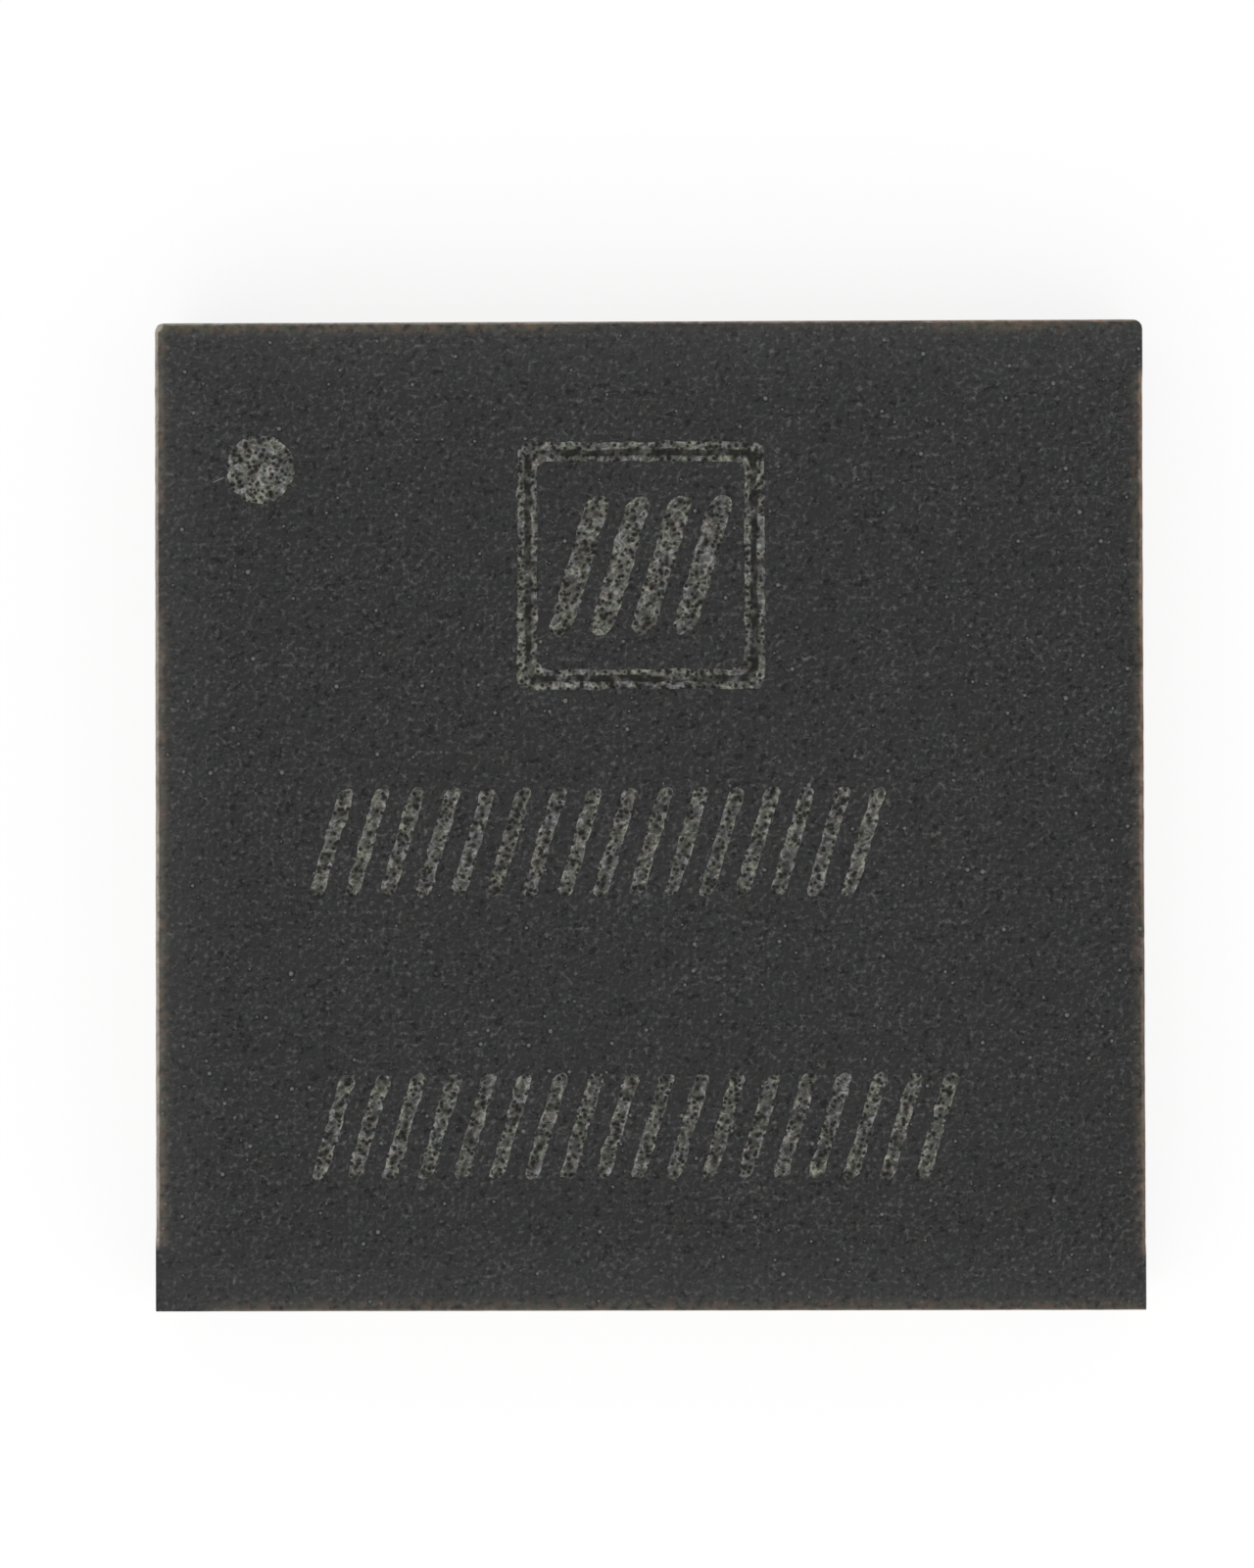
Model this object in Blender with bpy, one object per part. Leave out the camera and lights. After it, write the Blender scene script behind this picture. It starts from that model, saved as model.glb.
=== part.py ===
"""A power management chip in a square, leadless, moulded package.

One thin sheet of copper alloy, etched from both sides, gives the die paddle
and the leads. The die is glued to the paddle and wired to the leads, the whole
is moulded in black epoxy compound, and a saw frees the package by cutting
through the leads and the tie bars. The underside shows the feet of the leads
and the thermal pad. The top face has one laser burnt dot, next to pin 1.

Metres, +Z up through the marked face. The origin is the middle of the
underside. Pin 1 is at -X +Y, and the pins run anticlockwise seen from above.
"""

import math

import bmesh
import bpy
from mathutils import Matrix, Vector

MM = 0.001

# Package
PACKAGE_WIDTH = 6.0 * MM  # across the sawn faces of the metal
SAW_STEP = 0.004 * MM  # the saw takes this much more off the mould than off the metal
STANDOFF = 0.02 * MM  # the metal stands this far out of the mould's underside
WORN_CORNER = 0.055 * MM  # radius of the two rubbed corners, at +Y
MOULD_OVER_LOOPS = 0.275 * MM

# Pin 1 dot, burnt into the top face
DOT_DIAMETER = 0.41 * MM
DOT_DEPTH = 0.012 * MM
DOT_FROM_LEFT = 0.63 * MM
DOT_FROM_BACK = 0.91 * MM

# Lead frame
FRAME_THICKNESS = 0.20 * MM
HALF_ETCH = 0.10 * MM  # taken off the underside of shoulders, rim and tie bars
LEAD_PITCH = 0.40 * MM
CORNER_MARGIN = 0.95 * MM  # the least distance from a package side to a lead's middle
FOOT_LENGTH = 0.40 * MM
FOOT_WIDTH = 0.215 * MM
NECK_WIDTH = 0.20 * MM  # where the saw cuts a lead
NECK_LENGTH = 0.06 * MM
SHOULDER_STEP = 0.008 * MM  # a shoulder is this much wider than its foot, each side
SHOULDER_OVERHANG = 0.12 * MM  # and this much longer, inwards
PAD_GAP = 0.40 * MM  # from the feet to the thermal pad
PAD_CORNER = 0.08 * MM
PIN_1_CHAMFER = 0.30 * MM
RIM_WIDTH = 0.10 * MM  # half-etched rim round the thermal pad
TIE_BAR_WIDTH = 0.20 * MM

# Die and its glue
DIE_MARGIN = 0.70 * MM  # from the die's edge to the thermal pad's
DIE_THICKNESS = 0.25 * MM
GLUE_LINE = 0.025 * MM  # from the paddle to the die
GLUE_FILLET = 0.06 * MM  # what is squeezed out round the die

# Bond wires
WIRE_DIAMETER = 0.025 * MM
BALL_DIAMETER = 0.05 * MM
BALL_HEIGHT = 0.016 * MM
LOOP_HEIGHT = 0.15 * MM  # from the die to the top of a loop
LOOP_SHOULDER = 0.13 * MM  # how far a loop has gone outwards at its top
BOND_INSET = 0.08 * MM  # from the die's edge to its row of bonds
BOND_ROW_END = 0.22 * MM  # from the die's corner to the row's first bond
STITCH_INSET = 0.12 * MM  # from a shoulder's inner end to its stitch

# The mould fits the metal, the die and the wires this closely, and so do they each other
CLEARANCE = 0.004 * MM
OVERRUN = 0.05 * MM  # how far a cutter runs out of what it cuts
WELD = 1e-5 * MM

FOOT_SEGMENTS = 8
SHOULDER_SEGMENTS = 4
CORNER_SEGMENTS = 4
DOT_SEGMENTS = 40
WIRE_RESOLUTION = 1  # six sides

# Sizes that follow from those above
REACH = PACKAGE_WIDTH / 2
MOULD_HALF = REACH - SAW_STEP
PAD_HALF = REACH - FOOT_LENGTH - PAD_GAP
RIM_HALF = PAD_HALF + RIM_WIDTH
DIE_HALF = PAD_HALF - DIE_MARGIN
DIE_BASE = FRAME_THICKNESS + GLUE_LINE
DIE_TOP = DIE_BASE + DIE_THICKNESS
LOOP_TOP = DIE_TOP + LOOP_HEIGHT
BODY_TOP = LOOP_TOP + MOULD_OVER_LOOPS
FOOT_END = REACH - FOOT_LENGTH
SHOULDER_END = FOOT_END - SHOULDER_OVERHANG
LEADS_PER_SIDE = int((PACKAGE_WIDTH - 2 * CORNER_MARGIN) / LEAD_PITCH) + 1
SIDES = 4


def clear_scene():
    for thing in list(bpy.data.objects):
        bpy.data.objects.remove(thing)


def new_collection(name):
    collection = bpy.data.collections.new(name)
    bpy.context.scene.collection.children.link(collection)
    return collection


def new_material(name, colour, roughness, metallic):
    material = bpy.data.materials.new(name)
    material.use_nodes = True
    shader = material.node_tree.nodes["Principled BSDF"]
    shader.inputs["Base Color"].default_value = (*colour, 1)
    shader.inputs["Roughness"].default_value = roughness
    shader.inputs["Metallic"].default_value = metallic
    return material


def new_object(name, mesh, collection, material=None):
    thing = bpy.data.objects.new(name, mesh)
    collection.objects.link(thing)
    if material:
        mesh.materials.clear()
        mesh.materials.append(material)
    return thing


def hide_as_cutter(thing):
    thing.hide_render = True
    thing.display_type = "WIRE"
    return thing


def evaluated_mesh(thing):
    """What an object looks like with its modifiers, as a mesh of its own."""
    depsgraph = bpy.context.evaluated_depsgraph_get()
    return bpy.data.meshes.new_from_object(thing.evaluated_get(depsgraph))


def welded_from_curve(curve, name, collection, height=0):
    """Makes a curve a closed mesh object, with its caps welded on."""
    guide = bpy.data.objects.new(f"{name}_curve", curve)
    guide.location.z = height
    collection.objects.link(guide)
    mesh = evaluated_mesh(guide)
    work = bmesh.new()
    work.from_mesh(mesh)
    bmesh.ops.remove_doubles(work, verts=work.verts, dist=WELD)
    work.to_mesh(mesh)
    work.free()
    solid = new_object(name, mesh, collection)
    solid.matrix_world = guide.matrix_world
    bpy.data.objects.remove(guide)
    return solid


def plate(name, outline, low, high, collection):
    """A flat outline, given a thickness between two heights."""
    curve = bpy.data.curves.new(name, "CURVE")
    curve.dimensions = "2D"
    curve.fill_mode = "BOTH"
    curve.extrude = (high - low) / 2
    spline = curve.splines.new("POLY")
    spline.points.add(len(outline) - 1)
    for point, (x, y) in zip(spline.points, outline):
        point.co = (x, y, 0, 1)
    spline.use_cyclic_u = True
    return welded_from_curve(curve, name, collection, (low + high) / 2)


def boolean(thing, operation, other):
    """Cuts another object, or a whole collection of them, from a thing, or joins one to it."""
    modifier = thing.modifiers.new(operation.lower(), "BOOLEAN")
    modifier.operation = operation
    modifier.solver = "EXACT"
    if isinstance(other, bpy.types.Collection):
        modifier.operand_type = "COLLECTION"
        modifier.collection = other
    else:
        modifier.object = other


def joined(name, parts):
    """One mesh from overlapping solids, which are used up."""
    base = parts[0]
    for part in parts[1:]:
        boolean(base, "UNION", part)
    bpy.context.view_layer.update()
    mesh = evaluated_mesh(base)
    mesh.transform(base.matrix_world)
    mesh.name = name
    for part in parts:
        bpy.data.objects.remove(part)
    return mesh


def arc(centre_x, centre_y, radius, start, sweep, segments):
    return [
        (
            centre_x + radius * math.cos(start + sweep * step / segments),
            centre_y + radius * math.sin(start + sweep * step / segments),
        )
        for step in range(segments + 1)
    ]


def quarter_turned(points, quarters):
    turn = Matrix.Rotation(quarters * math.pi / 2, 2)
    return [tuple(turn @ Vector(point)) for point in points]


def corner(half, radius, segments):
    """The +X +Y corner of a square: sharp, rounded, or cut off by one segment."""
    if radius <= 0:
        return [(half, half)]
    return arc(half - radius, half - radius, radius, 0, math.pi / 2, segments)


def square(half, corners):
    """A square outline. Its corners, from +X +Y anticlockwise, are (radius, segments)."""
    points = []
    for quarters, (radius, segments) in enumerate(corners):
        points += quarter_turned(corner(half, radius, segments), quarters)
    return points


def worn_corners():
    """The mould's corners: the two at +Y are rubbed round, and the others sharp."""
    worn = (WORN_CORNER, CORNER_SEGMENTS)
    sharp = (0, 1)
    return [worn, worn, sharp, sharp]


def paddle_plan(rim_half, bar_width, reach, corners):
    """The paddle's upper half: a square rim, with a tie bar out of each corner."""
    slant = bar_width / math.sqrt(2)
    points = []
    for quarters, (radius, segments) in enumerate(corners):
        bar = [(rim_half, rim_half - slant), (reach, reach - slant)]
        bar += corner(reach, radius, segments)
        bar += [(reach - slant, reach), (rim_half - slant, rim_half)]
        points += quarter_turned(bar, quarters)
    return points


def paddle_mesh(name, collection, grow=0, below=0, beyond=0):
    """The paddle, or grown by a clearance, the space that the mould leaves for it."""
    plain = (PAD_CORNER, CORNER_SEGMENTS)
    pad = square(PAD_HALF + grow, [plain, (PIN_1_CHAMFER, 1), plain, plain])
    ends = [(0, 1)] * SIDES if beyond else worn_corners()
    rim = paddle_plan(RIM_HALF + grow, TIE_BAR_WIDTH + 2 * grow, REACH + beyond, ends)
    middle = (HALF_ETCH + FRAME_THICKNESS) / 2
    upper = plate(name, rim, HALF_ETCH - grow, FRAME_THICKNESS + grow, collection)
    lower = plate(name, pad, -below, middle, collection)
    return joined(name, [upper, lower])


def round_end(inner_end, width, grow, segments):
    """The inner end of a lead's outline, from its +Y side round to its -Y side."""
    radius = width / 2 + grow
    return arc(inner_end + width / 2, 0, radius, math.pi / 2, math.pi, segments)


def foot_plan(grow, beyond):
    """A foot's outline, from its neck at the sawn face to its round inner end."""
    half = FOOT_WIDTH / 2 + grow
    neck = NECK_WIDTH / 2 + grow
    outline = [(REACH + beyond, -neck), (REACH + beyond, neck), (REACH - NECK_LENGTH, half)]
    outline += round_end(FOOT_END, FOOT_WIDTH, grow, FOOT_SEGMENTS)
    outline.append((REACH - NECK_LENGTH, -half))
    return outline


def shoulder_plan(grow, beyond):
    """A shoulder's outline, with plain sides."""
    width = FOOT_WIDTH + 2 * SHOULDER_STEP
    half = width / 2 + grow
    outline = [(REACH + beyond, -half), (REACH + beyond, half)]
    outline += round_end(SHOULDER_END, width, grow, SHOULDER_SEGMENTS)
    return outline


def wire(name, place, collection, grow=0, sink=0):
    """A bond wire: ball, neck, loop, and the run down to its stitch.

    Its space in the mould is square, so it's wider across the corners.
    """
    middle = (LEADS_PER_SIDE - 1) / 2
    bond_pitch = (DIE_HALF - BOND_ROW_END) / max(middle, 1)
    start = Vector((DIE_HALF - BOND_INSET, (place - middle) * bond_pitch, 0))
    stitch = Vector((SHOULDER_END + STITCH_INSET, (place - middle) * LEAD_PITCH, 0))
    run = stitch - start
    wire_radius = WIRE_DIAMETER / 2 + grow
    ball = (BALL_DIAMETER / 2 + grow) / wire_radius
    ball_foot = DIE_TOP + CLEARANCE
    ball_top = ball_foot + BALL_HEIGHT + grow
    crest = LOOP_TOP - WIRE_DIAMETER / 2
    shoulder = LOOP_SHOULDER / run.length
    fall = crest - FRAME_THICKNESS
    stations = [
        (0, ball_foot - sink, ball),
        (0, ball_top, ball),
        (0, ball_top + WIRE_DIAMETER / 4, 1),
        (0, crest - WIRE_DIAMETER, 1),
        (shoulder, crest, 1),
        (0.6, FRAME_THICKNESS + 0.53 * fall, 1),
        (1 + grow / run.length, FRAME_THICKNESS, 1),
    ]
    curve = bpy.data.curves.new(name, "CURVE")
    curve.dimensions = "3D"
    curve.bevel_depth = wire_radius * (math.sqrt(2) if grow else 1)
    curve.bevel_resolution = 0 if grow else WIRE_RESOLUTION
    curve.use_fill_caps = True
    spline = curve.splines.new("POLY")
    spline.points.add(len(stations) - 1)
    for point, (share, height, thickness) in zip(spline.points, stations):
        point.co = (*(start + share * run).xy, height, 1)
        point.radius = thickness
    return welded_from_curve(curve, name, collection)


def lead_mesh(name, place, collection, grow=0, below=0, beyond=0, sink=0):
    """A lead of the +X side with its wire, or the space that the mould leaves for both."""
    along = (place - (LEADS_PER_SIDE - 1) / 2) * LEAD_PITCH
    shoulder = [(x, y + along) for x, y in shoulder_plan(grow, beyond)]
    foot = [(x, y + along) for x, y in foot_plan(grow, beyond)]
    middle = (HALF_ETCH + FRAME_THICKNESS) / 2
    upper = plate(name, shoulder, HALF_ETCH - grow, FRAME_THICKNESS + grow, collection)
    lower = plate(name, foot, -below, middle, collection)
    return joined(name, [upper, lower, wire(name, place, collection, grow, sink)])


def add_leads(parts, cutters, metal):
    """Every lead, numbered anticlockwise from pin 1, with a cutter for its space."""
    for place in range(LEADS_PER_SIDE):
        lead = lead_mesh("lead", place, parts)
        space = lead_mesh(
            "lead_space", place, cutters, CLEARANCE, OVERRUN, OVERRUN, 2 * CLEARANCE
        )
        for side in range(SIDES):
            pin = side * LEADS_PER_SIDE + place + 1
            turn = math.pi + side * math.pi / 2
            new_object(f"lead_{pin:02d}", lead, parts, metal).rotation_euler.z = turn
            cutter = new_object(f"lead_space_{pin:02d}", space, cutters)
            hide_as_cutter(cutter).rotation_euler.z = turn


def add_paddle(parts, cutters, metal):
    new_object("die_paddle", paddle_mesh("die_paddle", parts), parts, metal)
    space = paddle_mesh("paddle_space", cutters, CLEARANCE, OVERRUN, OVERRUN)
    hide_as_cutter(new_object("paddle_space", space, cutters))


def add_die(parts, cutters, silicon, glue):
    """The die and its glue, each with the space that it takes in the mould."""
    sharp = [(0, 1)] * SIDES
    fillet = [(GLUE_FILLET, CORNER_SEGMENTS)] * SIDES
    glue_half = DIE_HALF + GLUE_FILLET

    die = plate("silicon_die", square(DIE_HALF, sharp), DIE_BASE, DIE_TOP, parts)
    die.data.materials.append(silicon)
    layer = plate(
        "die_attach",
        square(glue_half, fillet),
        FRAME_THICKNESS + CLEARANCE,
        DIE_BASE - CLEARANCE,
        parts,
    )
    layer.data.materials.append(glue)

    spaces = [
        plate(
            "die_space",
            square(DIE_HALF + CLEARANCE, sharp),
            DIE_BASE - 2 * CLEARANCE,
            DIE_TOP + CLEARANCE,
            cutters,
        ),
        plate(
            "glue_space",
            square(glue_half + CLEARANCE, fillet),
            FRAME_THICKNESS,
            DIE_BASE,
            cutters,
        ),
    ]
    for space in spaces:
        hide_as_cutter(space)


def add_dot(cutters):
    """The cutter for the shallow dot beside pin 1."""
    disc = bmesh.new()
    bmesh.ops.create_cone(
        disc,
        cap_ends=True,
        segments=DOT_SEGMENTS,
        radius1=DOT_DIAMETER / 2,
        radius2=DOT_DIAMETER / 2,
        depth=2 * DOT_DEPTH,
    )
    mesh = bpy.data.meshes.new("pin_1_dot")
    disc.to_mesh(mesh)
    disc.free()
    dot = hide_as_cutter(new_object("pin_1_dot", mesh, cutters))
    dot.location = (DOT_FROM_LEFT - REACH, REACH - DOT_FROM_BACK, BODY_TOP)


def add_mould(parts, cutters, compound):
    """The moulded block, with the space for all that it holds, and its dot."""
    outline = square(MOULD_HALF, worn_corners())
    block = plate("mould_body", outline, STANDOFF, BODY_TOP, parts)
    block.data.materials.append(compound)
    boolean(block, "DIFFERENCE", cutters)


def main():
    clear_scene()
    parts = new_collection("power_management_chip")
    cutters = new_collection("cutters")

    compound = new_material("moulding_compound", (0.040, 0.040, 0.041), 0.62, 0)
    metal = new_material("tin_plated_copper", (0.58, 0.54, 0.47), 0.42, 1)
    silicon = new_material("silicon", (0.10, 0.11, 0.13), 0.18, 0.6)
    glue = new_material("silver_filled_epoxy", (0.52, 0.51, 0.49), 0.55, 0.5)

    add_leads(parts, cutters, metal)
    add_paddle(parts, cutters, metal)
    add_die(parts, cutters, silicon, glue)
    add_dot(cutters)
    add_mould(parts, cutters, compound)


main()
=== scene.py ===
"""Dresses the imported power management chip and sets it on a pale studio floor.

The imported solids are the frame. The moulded block gets a piece of its own, with a worn upper edge,
a laser burnt pin 1 dot, and a panel and two rows of plain burnt bars. The metal, glue and die keep
their solids and get finishes.
"""
import math

import bmesh
import bpy
from bpy.props import FloatProperty, FloatVectorProperty, IntProperty, PointerProperty
from mathutils import Matrix, Vector, noise


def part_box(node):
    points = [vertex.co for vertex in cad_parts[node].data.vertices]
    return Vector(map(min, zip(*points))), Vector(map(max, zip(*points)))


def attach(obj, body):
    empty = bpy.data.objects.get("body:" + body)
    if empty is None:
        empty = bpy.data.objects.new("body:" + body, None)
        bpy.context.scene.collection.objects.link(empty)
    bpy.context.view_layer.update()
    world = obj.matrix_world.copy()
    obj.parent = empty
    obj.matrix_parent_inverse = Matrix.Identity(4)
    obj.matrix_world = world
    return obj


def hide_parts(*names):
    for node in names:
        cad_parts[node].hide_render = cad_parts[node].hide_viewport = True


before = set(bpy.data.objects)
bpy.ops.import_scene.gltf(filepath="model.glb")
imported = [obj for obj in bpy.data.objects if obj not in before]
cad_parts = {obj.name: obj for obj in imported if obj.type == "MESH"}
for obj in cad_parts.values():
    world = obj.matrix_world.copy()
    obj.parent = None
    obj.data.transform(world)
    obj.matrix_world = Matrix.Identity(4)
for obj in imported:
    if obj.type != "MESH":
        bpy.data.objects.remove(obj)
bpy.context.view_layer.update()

bl_info = {
    "name": "Power Management Chip",
    "version": (1, 0, 0),
    "blender": (4, 5, 0),
    "location": "View3D > Sidebar > Chip",
    "description": "Worn moulding, burnt marks, plated leads and studio stage for a packed chip",
    "category": "Object",
}

MM = 0.001
MOULD_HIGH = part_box("mould_body")[1]
HALF = MOULD_HIGH.x  # half the moulding's side
TOP = MOULD_HIGH.z
SAW_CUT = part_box("die_paddle")[1].x  # how far out the sawn metal ends
SHEET_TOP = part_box("die_paddle")[1].z  # top of the etched sheet: a lead's metal above it is its wire
DIE_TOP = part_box("silicon_die")[1].z
CORNER = 0.055 * MM  # radius of the moulding's two round corners, at the back
SWAY = 0.012 * MM  # how far the burnt marks' outlines wander
FRAY = 0.006 * MM  # how ragged their rims are
SCOURED = 0.6  # share of a bar's width that is scoured dark, between its pale edges
BLUNT = 0.04  # keeps the corners of a bar's round ends from closing
FILL_TURN = 0.3  # radians that the mesh is turned while its top face is filled
SAME_POINT = 1e-7  # metres within which two points are one
MOULDED, BURNT, SAWN, UNDERSIDE, RUBBED = range(5)  # the moulding's material slots
RIDGE = "ridge"  # how high a point of a burnt floor stands, from 0 to 1


def length(name, default, description):
    """A length, given in millimetres."""
    return FloatProperty(name=name, description=description, default=default * MM, min=0.0,
                         unit="LENGTH", subtype="DISTANCE", precision=6)


def place(name, default, description):
    """Two distances on the chip's top face, given in millimetres."""
    return FloatVectorProperty(name=name, description=description, size=2, unit="LENGTH",
                               default=[value * MM for value in default], precision=6)


def angles(name, default, description):
    """Two or three angles, given in degrees."""
    return FloatVectorProperty(name=name, description=description, size=len(default), unit="ROTATION",
                               default=[math.radians(angle) for angle in default])


def share(name, default, description):
    """A share, from 0 to 1."""
    return FloatProperty(name=name, description=description, default=default, subtype="FACTOR",
                         min=0.0, max=1.0)


def colour(name, default, description):
    """A linear colour."""
    return FloatVectorProperty(name=name, description=description, size=3, subtype="COLOR",
                               default=default, min=0.0, max=1.0)


class ChipWear(bpy.types.PropertyGroup):
    """How far the upper edge of the moulding is rubbed."""

    kept_height: length("Kept height", 0.80, "Height up to which the packed moulding is kept")
    segment: length("Edge segment", 0.030, "Length of one step along the rubbed edge")
    side_edge: length("Side edges", 0.034, "Width that is rubbed off the left and right edges")
    back_edge: length("Back edge", 0.012, "Width that is rubbed off the back edge")
    front_edge: length("Front edge", 0.016, "Width that is rubbed off the front edge")
    left_span: place("Left run", (-2.60, 3.10), "Start and end of the rubbed edge on the left")
    right_span: place("Right run", (-2.67, 2.70), "Start and end of the rubbed edge on the right")
    rounds: IntProperty(name="Edge rounds", description="Steps of the rubbed edge's profile",
                        default=4, min=1)


class ChipMarks(bpy.types.PropertyGroup):
    """The laser burnt dot, panel and rows of bars on the top face."""

    dot_centre: place("Dot centre", (-2.353, 2.107), "Middle of the pin 1 dot")
    dot_diameter: length("Dot diameter", 0.41, "Diameter of the pin 1 dot")
    dot_depth: length("Dot depth", 0.012, "Depth of the dot's deepest pits")
    stroke: length("Bar width", 0.092, "Width of one burnt bar")
    stroke_pitch: length("Bar pitch", 0.215, "Distance from one bar to the next")
    bar_depth: length("Bar depth", 0.010, "Depth of the deepest pits in the panel and rows")
    bar_strength: share("Bar strength", 0.97, "How pale the panel and rows are beside the dot")
    worn_middle: share("Worn middle", 0.62, "How dark the middle of a bar is beside its edges")
    cell: length("Burnt cell", 0.010, "Size of one face of a burnt floor")
    upper_start: place("Upper row", (-2.07, 0.17), "Upper left corner of the upper row")
    upper_height: length("Upper height", 0.66, "Height of the upper row")
    upper_bars: IntProperty(name="Upper bars", description="Bars in the upper row", default=16, min=0)
    lower_start: place("Lower row", (-2.06, -1.56), "Upper left corner of the lower row")
    lower_height: length("Lower height", 0.64, "Height of the lower row")
    lower_bars: IntProperty(name="Lower bars", description="Bars in the lower row", default=18, min=0)
    slant: FloatProperty(name="Slant", description="Sideways shift of a bar for its height",
                         default=0.30)
    panel_centre: place("Panel centre", (-0.045, 1.515), "Middle of the square burnt panel")
    panel_side: length("Panel side", 1.50, "Side of the panel's outer line")
    panel_gap: length("Panel gap", 0.030, "Distance between the panel's two lines")
    panel_line: length("Panel line", 0.045, "Width of each of the panel's lines")
    panel_height: length("Panel bar height", 0.84, "Height of the bars in the panel")
    panel_stroke: length("Panel bar width", 0.145, "Width of one bar in the panel")
    panel_pitch: length("Panel bar pitch", 0.25, "Distance from one bar in the panel to the next")
    panel_bars: IntProperty(name="Panel bars", description="Bars in the panel", default=4, min=0)


class ChipColours(bpy.types.PropertyGroup):
    """Colours of the finishes."""

    compound: colour("Compound", (0.0255, 0.0260, 0.0266), "Matte face of the moulding")
    warm_compound: colour("Warm compound", (0.0263, 0.0258, 0.0257), "Warmer parts of the face")
    fleck: colour("Fleck", (0.1405, 0.1415, 0.142), "Light flecks in the moulding")
    warm_fleck: colour("Warm fleck", (0.1445, 0.141, 0.137), "Flecks in the warmer parts")
    pit: colour("Pit", (0.010, 0.010, 0.010), "Fine pits in the moulding")
    burnt: colour("Burnt ridge", (0.281, 0.290, 0.281), "Ridges that the laser left")
    burnt_olive: colour("Olive ridge", (0.284, 0.296, 0.242), "Ridges with an olive tinge")
    burnt_pink: colour("Pink ridge", (0.306, 0.288, 0.264), "Ridges with a pink tinge")
    char: colour("Burnt pit", (0.013, 0.0125, 0.011), "Pits that the laser left")
    # The pale edge line is partly rubbed wear and partly a painted highlight on the rounded edges.
    lip_and_highlight: colour("Rubbed lip", (0.420, 0.375, 0.325), "Rubbed line along the edges")
    blush: colour("Blush", (0.360, 0.215, 0.160), "Reddish parts of the right edge's line")
    stain: colour("Stain", (0.120, 0.090, 0.068), "Brown behind the rubbed edges")
    olive: colour("Olive stain", (0.082, 0.084, 0.062), "Olive behind the rubbed edges")
    sawn: colour("Sawn compound", (0.036, 0.035, 0.034), "Side faces, where the moulding was sawn")
    filler: colour("Filler", (0.16, 0.155, 0.145), "Cut grains of filler in the side faces")
    tin: colour("Tin", (0.565, 0.515, 0.412), "Matte plating of the feet and thermal pad")
    warm_tin: colour("Warm tin", (0.520, 0.450, 0.370), "Warmer clouds in the plating")
    tarnish: colour("Tarnish", (0.250, 0.215, 0.160), "Specks in the plating")
    copper: colour("Copper", (0.600, 0.270, 0.150), "Sawn ends of the leads")
    dull_copper: colour("Dull copper", (0.280, 0.130, 0.080), "Darker streaks in the sawn ends")
    gold: colour("Gold", (0.870, 0.610, 0.240), "Bond wires")
    silver_glue: colour("Silver epoxy", (0.420, 0.410, 0.390), "Glue under the die")
    silver_flake: colour("Silver flake", (0.620, 0.610, 0.580), "Flakes in the glue")
    silicon: colour("Silicon", (0.085, 0.090, 0.105), "Diced sides of the die")
    circuit: colour("Circuit", (0.110, 0.120, 0.130), "Lighter blocks on the die's top")
    dark_circuit: colour("Dark circuit", (0.070, 0.080, 0.100), "Darker blocks on the die's top")
    circuit_line: colour("Circuit line", (0.200, 0.170, 0.120), "Lines between the blocks")


class ChipStage(bpy.types.PropertyGroup):
    """Floor, light and camera."""

    floor_side: FloatProperty(name="Floor", description="Side of the square floor", default=0.40,
                              unit="LENGTH", subtype="DISTANCE")
    floor_lap: length("Floor lap", 0.010, "How far the floor reaches under the moulding's sides")
    floor_shade: share("Shade", 0.22, "Share of the floor that takes light and shadow")
    floor_paint: share("Floor paint", 0.85, "Grey of the floor where it takes light and shadow")
    floor_glow: FloatProperty(name="Floor glow", description="Brightness of the rest of the floor",
                              default=1.07)
    sky: FloatProperty(name="Sky", description="Brightness of the surroundings as light",
                       default=0.52)
    key: FloatProperty(name="Key lamp", description="Strength of the main lamp", default=1.20)
    key_tilt: angles("Key tilt", (34, -24), "Tilt of the main lamp, forwards and then sideways")
    fill: FloatProperty(name="Fill lamp", description="Strength of the second lamp", default=0.62)
    fill_tilt: angles("Fill tilt", (28, 38), "Tilt of the second lamp, forwards and then sideways")
    lamp_spread: FloatProperty(name="Lamp spread", description="Angle that each lamp fills",
                               default=math.radians(60), subtype="ANGLE")
    camera_place: FloatVectorProperty(name="Camera", description="Where the camera stands", size=3,
                                      default=(0.0002219, -0.000225, 0.0308566), unit="LENGTH",
                                      subtype="XYZ", precision=6)
    camera_turn: angles("Camera turn", (0.7926, 0.6819, -0.1631), "How the camera is turned")
    lens: FloatProperty(name="Lens", description="Focal length for a 36 mm sensor", default=113.6,
                        subtype="DISTANCE_CAMERA")


# Shaders


class Signal:
    """One socket of a shader, with the sums that expressions use."""

    def __init__(self, finish, socket):
        self.finish = finish
        self.socket = socket

    def maths(self, operation, *others):
        values = enumerate((self, *others))
        return self.finish.node("ShaderNodeMath", {"operation": operation}, values)

    def at_least(self, limit):
        return self.maths("MAXIMUM", limit)

    def at_most(self, limit):
        return self.maths("MINIMUM", limit)

    def __add__(self, other):
        return self.maths("ADD", other)

    def __sub__(self, other):
        return self.maths("SUBTRACT", other)

    def __rsub__(self, other):
        return (self * -1) + other

    def __mul__(self, other):
        return self.maths("MULTIPLY", other)

    def __abs__(self):
        return self.maths("ABSOLUTE")

    __radd__ = __add__
    __rmul__ = __mul__


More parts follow.
